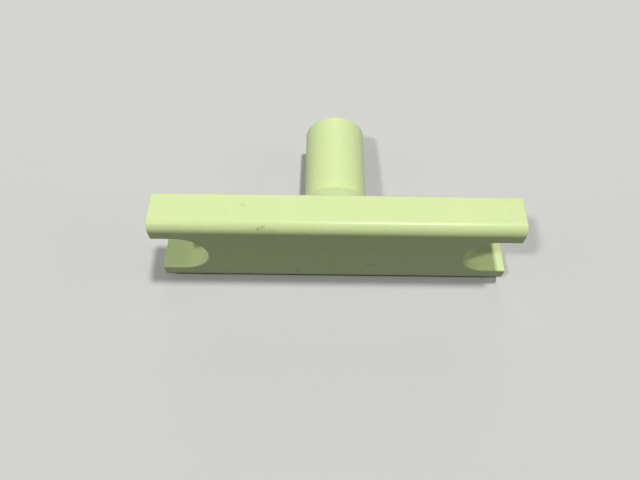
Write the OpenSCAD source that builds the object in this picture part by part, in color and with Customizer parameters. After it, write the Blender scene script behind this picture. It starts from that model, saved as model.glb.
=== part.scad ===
// T-shaped control handle, moulded in one piece.
// A flat bar stands on its long edge and a round stem points back from the middle of it.
// Each end of the bar is open: a notch with a full-radius end runs through from front to back
// and leaves a prong above and a prong below.
// The bar alone would not balance the stem, so the handle leans back until the stem's end
// touches the surface that it stands on. It is modelled as it rests.

/* [Bar] */
// Length of the bar, from end to end
bar_length = 100; // [80:0.5:130]
// Thickness of the bar, from its front face to its rear face
bar_depth = 11.2; // [9:0.1:16]
// Height of the bar
bar_height = 28; // [25:0.1:34]
// Radius of the two long front edges
front_r = 3; // [1.5:0.1:4]
// Radius of the two long rear edges
rear_r = 0.8; // [0.5:0.1:1.5]
// Radius of the edges around each flat end
end_r = 0.25; // [0.2:0.05:0.8]

/* [Notches] */
// Height of each notch, between its two prongs
notch_height = 16; // [10:0.1:17]
// Depth of each notch, from the bar's end to the middle of its round end
notch_depth = 14.2; // [9:0.1:20]
// Radius of the soft edge around each notch
rim_r = 0.4; // [0.2:0.1:0.8]

/* [Stem] */
// Diameter of the stem
stem_d = 18; // [14:0.1:20]
// Length of the stem, behind the bar's rear face
stem_length = 32.5; // [20:0.5:50]
// Radius of the edge around the stem's end
stem_end_r = 0.8; // [0.4:0.1:1.5]
// Distance that the flare at the stem's root runs along it, from the bar's rear face
flare_reach = 6; // [3:0.5:10]
// Distance that the flare stands out from the stem, at the bar's rear face
flare_rise = 3.4; // [1:0.1:4]

/* [Hidden] */
plastic = [0.72, 0.82, 0.50];
$fn = 96;
// How far a cutting or joining solid runs past the surface that it works on
overlap = 1;
// Distance of a soft edge's centre from its two faces, as a share of the radius:
// a little under one, so that the round crosses each face instead of only touching it
soft_share = 0.97;
stem_r = stem_d / 2;
notch_r = notch_height / 2;
mid_height = bar_height / 2;
end_x = bar_length / 2;
// Distance from the middle of the bar to the centre of a notch's round end
notch_x = end_x - notch_depth + notch_r;

// The handle rests on two round edges, whose centres are points of the Y and Z plane:
// the heel is the bar's lower rear edge, and the toe is the lowest part of the stem's end edge
heel_y = bar_depth - rear_r;
heel_z = rear_r;
toe_y = bar_depth + stem_length - stem_end_r;
toe_z = mid_height - stem_r + stem_end_r;
foot_span = sqrt((toe_y - heel_y) ^ 2 + (toe_z - heel_z) ^ 2);
lean = atan2(toe_z - heel_z, toe_y - heel_y) - asin((stem_end_r - rear_r) / foot_span);

// How far the leaning handle reaches to the front and to the back of the heel's centre
reach_front = (heel_y - front_r) * cos(lean) + (heel_z - front_r) * sin(lean) + front_r;
crown_y = toe_y - heel_y;
crown_z = mid_height + stem_r - stem_end_r - heel_z;
reach_back = crown_y * cos(lean) + crown_z * sin(lean) + stem_end_r;

// What a soft edge takes away from a square corner at the origin, whose solid lies to +X and +Y
module soft_edge(radius) {
    centre = soft_share * radius;
    difference() {
        translate([-overlap, -overlap]) square(centre + overlap);
        translate([centre, centre]) circle(radius);
    }
}

// The section of the bar, drawn in Y and Z, with its front at the left
module bar_section() {
    union() {
        translate([front_r, 0]) square([bar_depth - front_r - rear_r, bar_height]);
        translate([0, front_r]) square([front_r, bar_height - 2 * front_r]);
        translate([bar_depth - rear_r, rear_r]) square([rear_r, bar_height - 2 * rear_r]);
        for (z = [front_r, bar_height - front_r]) translate([front_r, z]) circle(front_r);
        for (z = [rear_r, bar_height - rear_r]) translate([bar_depth - rear_r, z]) circle(rear_r);
    }
}

// Turns a drawing of X and Z into a solid that runs along Y
module along_y(from, to) {
    translate([0, to, 0])
        rotate([90, 0, 0])
            linear_extrude(to - from) children();
}

// The soft edge around the flat end at -X: straight along the rear, the top and the bottom,
// and bent around the front's two rounded edges
module end_softening() {
    translate([-end_x, 0, front_r])
        linear_extrude(bar_height - 2 * front_r) soft_edge(end_r);
    translate([-end_x, bar_depth, -overlap])
        linear_extrude(bar_height + 2 * overlap) mirror([0, 1]) soft_edge(end_r);
    along_y(front_r, bar_depth + overlap) {
        translate([-end_x, 0]) soft_edge(end_r);
        translate([-end_x, bar_height]) mirror([0, 1]) soft_edge(end_r);
    }
    for (upper = [0, 1])
        translate([-end_x, front_r, upper ? bar_height - front_r : front_r])
            rotate([0, 90, 0])
                rotate([0, 0, upper ? 180 : -90])
                    rotate_extrude(angle = 90)
                        translate([front_r, 0]) mirror([1, 0]) soft_edge(end_r);
}

// The soft edge of the notch at -X where it opens at the front face: a half ring around
// its round end, and a straight run along each prong
module mouth_softening() {
    translate([-notch_x, 0, mid_height])
        rotate([-90, 0, 0])
            rotate([0, 0, -90])
                rotate_extrude(angle = 180)
                    translate([notch_r, 0]) soft_edge(rim_r);
    for (side = [-1, 1])
        translate([-end_x - overlap, 0, mid_height])
            mirror([0, 0, side < 0 ? 1 : 0])
                translate([0, 0, notch_r])
                    rotate([90, 0, 90])
                        linear_extrude(end_x - notch_x + overlap) soft_edge(rim_r);
}

// The notch at -X, with its soft edges
module notch() {
    translate([-notch_x, -overlap, mid_height])
        rotate([-90, 0, 0])
            cylinder(h = bar_depth + 2 * overlap, r = notch_r);
    translate([-end_x - overlap, -overlap, mid_height - notch_r])
        cube([end_x - notch_x + overlap, bar_depth + 2 * overlap, notch_height]);
    along_y(-overlap, bar_depth + overlap)
        for (side = [-1, 1])
            translate([-end_x, mid_height])
                mirror([0, side < 0 ? 1 : 0])
                    translate([0, notch_r]) soft_edge(rim_r);
    mouth_softening();
    translate([0, bar_depth, 0]) mirror([0, 1, 0]) mouth_softening();
}

module bar() {
    difference() {
        translate([-end_x, 0, 0])
            rotate([90, 0, 90])
                linear_extrude(bar_length) bar_section();
        for (side = [0, 1])
            mirror([side, 0, 0]) {
                end_softening();
                notch();
            }
    }
}

// The stem is turned about its own axis and laid along Y: its far end has a round edge,
// and its root flares out in a cone that stiffens it and runs a little way into the bar
module stem() {
    translate([0, bar_depth, mid_height])
        rotate([-90, 0, 0])
            rotate_extrude()
                union() {
                    translate([0, -overlap]) square([stem_r, stem_length - stem_end_r + overlap]);
                    square([stem_r - stem_end_r, stem_length]);
                    translate([stem_r - stem_end_r, stem_length - stem_end_r]) circle(stem_end_r);
                    polygon([
                        [0, -overlap],
                        [stem_r + flare_rise, -overlap],
                        [stem_r + flare_rise, 0],
                        [stem_r, flare_reach],
                        [0, flare_reach],
                    ]);
                }
}

module handle() {
    color(plastic)
        translate([0, (reach_front - reach_back) / 2, rear_r])
            rotate([-lean, 0, 0])
                translate([0, -heel_y, -heel_z]) {
                    bar();
                    stem();
                }
}

handle();
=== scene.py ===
import math

import bpy
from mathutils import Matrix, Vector

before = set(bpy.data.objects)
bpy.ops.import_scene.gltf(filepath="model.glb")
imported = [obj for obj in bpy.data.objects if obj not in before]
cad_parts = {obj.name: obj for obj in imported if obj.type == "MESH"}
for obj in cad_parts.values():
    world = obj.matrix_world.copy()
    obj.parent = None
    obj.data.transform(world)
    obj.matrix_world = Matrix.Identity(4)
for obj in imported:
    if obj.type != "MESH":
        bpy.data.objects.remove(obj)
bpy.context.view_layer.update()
scene = bpy.context.scene


# The camera. It looks down on the front of the bar at about 65 degrees from a hand's breadth
# and a half away, as a phone is held for a close photograph. Its place and angle were worked out
# from the edges of the handle.
camera_data = bpy.data.cameras.new("camera")
camera_data.sensor_width = 36.0
camera_data.lens = 31.646
camera_data.clip_start = 0.01
camera = bpy.data.objects.new("camera", camera_data)
camera.location = (-0.005866, -0.075122, 0.163658)
camera.rotation_euler = (math.radians(21.52), math.radians(-0.734), math.radians(0.476))
scene.collection.objects.link(camera)
scene.camera = camera


# The handle. One moulding in pale yellow-green plastic with a satin skin: a notched bar that
# the palm takes, and a round stem that goes into the mechanism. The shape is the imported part,
# and its finish is made here.
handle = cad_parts["handle"]


def place(tree, kind, x, y, label=None, **inputs):
    """Adds one shader node to the tree, sets what it is given and returns it."""
    node = tree.nodes.new(kind)
    node.location = (x, y)
    if label:
        node.label = label
    for name, value in inputs.items():
        node.inputs[name.replace("_", " ")].default_value = value
    return node


def math_step(tree, operation, x, y, label, *values):
    """Adds a sum of the given kind, of sockets and plain numbers, and returns its node."""
    node = place(tree, "ShaderNodeMath", x, y, label)
    node.operation = operation
    for slot, value in zip(node.inputs, values):
        if isinstance(value, float):
            slot.default_value = value
        else:
            tree.links.new(value, slot)
    return node


def vector_step(tree, operation, x, y, first, second):
    """Adds a vector sum of the given kind between two sockets and returns its node."""
    node = place(tree, "ShaderNodeVectorMath", x, y)
    node.operation = operation
    tree.links.new(first, node.inputs[0])
    tree.links.new(second, node.inputs["Scale"] if operation == "SCALE" else node.inputs[1])
    return node


def noise(tree, x, y, label, place_socket, scale, detail, roughness):
    """Adds a noise that is read at the given place and returns its node."""
    node = place(tree, "ShaderNodeTexNoise", x, y, label,
                 Scale=scale, Detail=detail, Roughness=roughness)
    tree.links.new(place_socket, node.inputs["Vector"])
    return node


# A small mark on the skin, such as a nick. It is full along a straight run from Start,
# and has faded out at Width from that line.
full_share = 0.3  # of the width, within which the mark is full
skin_mark = bpy.data.node_groups.new("skin_mark", "ShaderNodeTree")
for name, kind in (("Place", "NodeSocketVector"), ("Start", "NodeSocketVector"),
                   ("Run", "NodeSocketVector"), ("Width", "NodeSocketFloat")):
    skin_mark.interface.new_socket(name, in_out="INPUT", socket_type=kind)
skin_mark.interface.new_socket("Mask", in_out="OUTPUT", socket_type="NodeSocketFloat")
given = place(skin_mark, "NodeGroupInput", -1200, 0).outputs
from_start = vector_step(skin_mark, "SUBTRACT", -1000, 100, given["Place"], given["Start"])
along = vector_step(skin_mark, "DOT_PRODUCT", -800, 100,
                    from_start.outputs["Vector"], given["Run"])
run_square = vector_step(skin_mark, "DOT_PRODUCT", -800, -100, given["Run"], given["Run"])
share = math_step(skin_mark, "DIVIDE", -600, 0, "share of the run",
                  along.outputs["Value"], run_square.outputs["Value"])
share.use_clamp = True
nearest = vector_step(skin_mark, "SCALE", -400, -100, given["Run"], share.outputs["Value"])
gap = vector_step(skin_mark, "DISTANCE", -200, 0,
                  from_start.outputs["Vector"], nearest.outputs["Vector"])
core = math_step(skin_mark, "MULTIPLY", -200, -200, "width of the full part",
                 given["Width"], full_share)
fade = place(skin_mark, "ShaderNodeMapRange", 0, 0, "fade at the mark's edge")
fade.interpolation_type = "SMOOTHSTEP"
skin_mark.links.new(gap.outputs["Value"], fade.inputs["Value"])
skin_mark.links.new(given["Width"], fade.inputs["From Min"])
skin_mark.links.new(core.outputs["Value"], fade.inputs["From Max"])
shown = place(skin_mark, "NodeGroupOutput", 200, 0)
skin_mark.links.new(fade.outputs["Result"], shown.inputs["Mask"])

plastic = bpy.data.materials.new("satin_green_plastic")
plastic.use_nodes = True
skin = plastic.node_tree
skin.nodes.clear()
surface = place(skin, "ShaderNodeBsdfPrincipled", 900, 0, Specular_IOR_Level=0.27, IOR=1.48)
output = place(skin, "ShaderNodeOutputMaterial", 1200, 0)
skin.links.new(surface.outputs["BSDF"], output.inputs["Surface"])
position = place(skin, "ShaderNodeTexCoord", -1800, 0).outputs["Object"]

# The colour drifts a little between greener and yellower over the moulding.
drift = noise(skin, -1200, 500, "colour drift", position, 55.0, 3.0, 0.5)
drift_colour = place(skin, "ShaderNodeValToRGB", -950, 500, "greener to yellower")
greener, yellower = drift_colour.color_ramp.elements
greener.position = 0.3
greener.color = (0.672, 0.802, 0.384, 1.0)
yellower.position = 0.7
yellower.color = (0.706, 0.818, 0.390, 1.0)
skin.links.new(drift.outputs["Fac"], drift_colour.inputs["Fac"])

# The pigment is finely clouded, as it is in a moulding made from coloured granules.
cloud = noise(skin, -1200, 200, "pigment cloud", position, 900.0, 4.0, 0.6)
cloud_depth = place(skin, "ShaderNodeMapRange", -950, 200, "depth of the cloud",
                    From_Min=0.3, From_Max=0.7, To_Min=0.975, To_Max=1.02)
skin.links.new(cloud.outputs["Fac"], cloud_depth.inputs["Value"])
clouded = vector_step(skin, "SCALE", -600, 400,
                      drift_colour.outputs["Color"], cloud_depth.outputs["Result"])

# The marks: a short slanting nick on the round front edge left of the stem, darker at its two
# ends and rubbed beside it, a faint mark further right, and a speck on the top. A fine noise
# makes their edges ragged.
raggedness = 0.0005  # how far apart it can move two places, in metres
jitter = noise(skin, -1500, -300, "ragged edges", position, 3500.0, 2.0, 0.6)
jitter_centre = place(skin, "ShaderNodeVectorMath", -1300, -300)
jitter_centre.operation = "MULTIPLY_ADD"
jitter_centre.inputs[1].default_value = (raggedness, raggedness, raggedness)
jitter_centre.inputs[2].default_value = (-raggedness / 2, -raggedness / 2, -raggedness / 2)
skin.links.new(jitter.outputs["Color"], jitter_centre.inputs[0])
ragged = vector_step(skin, "ADD", -1100, -300, position, jitter_centre.outputs["Vector"])
marks = (  # name, start, run and width in metres, and how dark it is
    ("nick", (-0.02095, -0.01894, 0.02789), (0.00160, 0.00070, 0.00054), 0.00075, 0.30),
    ("nick_low_end", (-0.02088, -0.01887, 0.02795), (0.00010, 0.00018, 0.00016), 0.00058, 0.52),
    ("nick_high_end", (-0.01968, -0.01842, 0.02830), (0.00012, 0.00004, 0.00003), 0.00050, 0.45),
    ("rubbed_patch", (-0.01960, -0.01915, 0.02765), (0.00300, -0.00006, -0.00012), 0.00110, 0.12),
    ("faint_mark", (-0.01405, -0.01966, 0.02640), (0.00070, 0.00000, -0.00020), 0.00060, 0.16),
    ("top_speck", (-0.02530, -0.01190, 0.02822), (0.00020, 0.00010, 0.00000), 0.00070, 0.16),
)
marked = None
for row, (name, start, run, width, depth) in enumerate(marks):
    y = -200 - 220 * row
    mark = place(skin, "ShaderNodeGroup", -850, y, name)
    mark.node_tree = skin_mark
    mark.inputs["Start"].default_value = start
    mark.inputs["Run"].default_value = run
    mark.inputs["Width"].default_value = width
    skin.links.new(ragged.outputs["Vector"], mark.inputs["Place"])
    strength = math_step(skin, "MULTIPLY", -650, y, None, mark.outputs["Mask"], depth)
    if marked is None:
        marked = strength.outputs["Value"]
    else:
        joined = math_step(skin, "MAXIMUM", -450, y, None, marked, strength.outputs["Value"])
        marked = joined.outputs["Value"]
colour = place(skin, "ShaderNodeMix", 300, 300, "dirt in the marks")
colour.data_type = "RGBA"
skin.links.new(marked, colour.inputs["Factor"])
skin.links.new(clouded.outputs["Vector"], colour.inputs["A"])
colour.inputs["B"].default_value = (0.30, 0.30, 0.11, 1.0)
skin.links.new(colour.outputs["Result"], surface.inputs["Base Color"])

# The skin is a little smoother where hands and the mould's polish have left it so.
added_roughness = 0.25  # in a mark that is full
polish = noise(skin, -300, 0, "polish", position, 140.0, 3.0, 0.55)
gloss = place(skin, "ShaderNodeMapRange", 0, 0, "roughness of the skin",
              From_Min=0.3, From_Max=0.7, To_Min=0.27, To_Max=0.33)
skin.links.new(polish.outputs["Fac"], gloss.inputs["Value"])
scratched = math_step(skin, "MULTIPLY_ADD", 300, 0, "rougher in the marks",
                      marked, added_roughness, gloss.outputs["Result"])
skin.links.new(scratched.outputs["Value"], surface.inputs["Roughness"])

# The mould's fine grain, a faint waviness of the flat faces, and the depth of the marks.
grain_share = 0.10  # how high the grain is, beside the waviness
mark_share = 0.6  # how deep a full mark is, beside the waviness
grain = noise(skin, -300, -400, "mould grain", position, 2600.0, 2.0, 0.5)
wave = noise(skin, -300, -650, "faint waviness", position, 170.0, 1.0, 0.4)
relief = math_step(skin, "MULTIPLY_ADD", 0, -400, "grain on the waves",
                   grain.outputs["Fac"], grain_share, wave.outputs["Fac"])
sunk = math_step(skin, "MULTIPLY_ADD", 300, -400, "marks sunk into it",
                 marked, -mark_share, relief.outputs["Value"])
bump = place(skin, "ShaderNodeBump", 600, -400, Strength=0.5, Distance=0.0001)
skin.links.new(sunk.outputs["Value"], bump.inputs["Height"])
skin.links.new(bump.outputs["Normal"], surface.inputs["Normal"])

handle.data.materials.clear()
handle.data.materials.append(plastic)


# The floor: a plain pale sheet that the handle rests on. Its light on the handle is that of
# the dark grey table that the handle is photographed on.
edge = 0.5  # how far the floor reaches to each side, in metres
pale_grey = (0.62, 0.62, 0.605)
table_grey = (0.06, 0.06, 0.055)
floor_mesh = bpy.data.meshes.new("floor")
floor_mesh.from_pydata([(-edge, -edge, 0), (edge, -edge, 0), (edge, edge, 0), (-edge, edge, 0)],
                       [], [(0, 1, 2, 3)])
floor = bpy.data.objects.new("floor", floor_mesh)
scene.collection.objects.link(floor)


def pale_to_the_eye(tree, lit):
    """Returns the pale grey where it is seen, mirrored or seen through glass, and otherwise
    the colour whose light falls on the handle."""
    path = place(tree, "ShaderNodeLightPath", -900, 0).outputs
    mirrored = math_step(tree, "MAXIMUM", -700, 0, "seen or mirrored",
                         path["Is Camera Ray"], path["Is Glossy Ray"])
    through = math_step(tree, "MAXIMUM", -500, 0, "or seen through glass",
                        mirrored.outputs["Value"], path["Is Transmission Ray"])
    shade = place(tree, "ShaderNodeMix", -300, 0, "pale to the eye")
    shade.data_type = "RGBA"
    shade.inputs["A"].default_value = (*lit, 1.0)
    shade.inputs["B"].default_value = (*pale_grey, 1.0)
    tree.links.new(through.outputs["Value"], shade.inputs["Factor"])
    return shade.outputs["Result"]


paper = bpy.data.materials.new("pale_paper")
paper.use_nodes = True
sheet = paper.node_tree
paper_surface = sheet.nodes["Principled BSDF"]
paper_surface.inputs["Roughness"].default_value = 0.9
paper_surface.inputs["Specular IOR Level"].default_value = 0.1
sheet.links.new(pale_to_the_eye(sheet, table_grey), paper_surface.inputs["Base Color"])
floor_mesh.materials.append(paper)


# The lights: a main softbox high above and a little behind the handle, a weaker one at its
# front left, and broad weak ones. At level 1 a lamp shows a pale sheet that faces it
# about as pale as it is.
def softbox(name, toward, level, across, distance):
    """Adds a round lamp that shines on the handle from the given side."""
    lamp_data = bpy.data.lights.new(name, "AREA")
    lamp_data.shape = "DISK"
    lamp_data.size = across
    lamp_data.energy = level * math.pi ** 2 * distance ** 2
    lamp = bpy.data.objects.new(name, lamp_data)
    direction = Vector(toward).normalized()
    lamp.location = direction * distance
    lamp.rotation_euler = direction.to_track_quat("Z", "Y").to_euler()
    scene.collection.objects.link(lamp)


softbox("main_softbox", (0.1675, 0.1887, 0.9676), 0.61, 0.27, 3.0)
softbox("front_left_softbox", (-0.4336, -0.2111, 0.8761), 0.32, 0.27, 3.0)
softbox("left_screen", (-0.866, 0.0, 0.5), 0.10, 1.2, 2.0)
softbox("right_screen", (0.866, 0.0, 0.5), 0.14, 1.2, 2.0)
softbox("rear_screen", (0.0, 0.866, 0.5), 0.13, 1.2, 2.0)

# The room behind is as pale as the floor, and sheds next to no light on the handle.
room_light = (0.01, 0.01, 0.01)
world = bpy.data.worlds.new("studio")
world.use_nodes = True
room = world.node_tree
room.links.new(pale_to_the_eye(room, room_light), room.nodes["Background"].inputs["Color"])
scene.world = world
scene.view_settings.view_transform = "Standard"
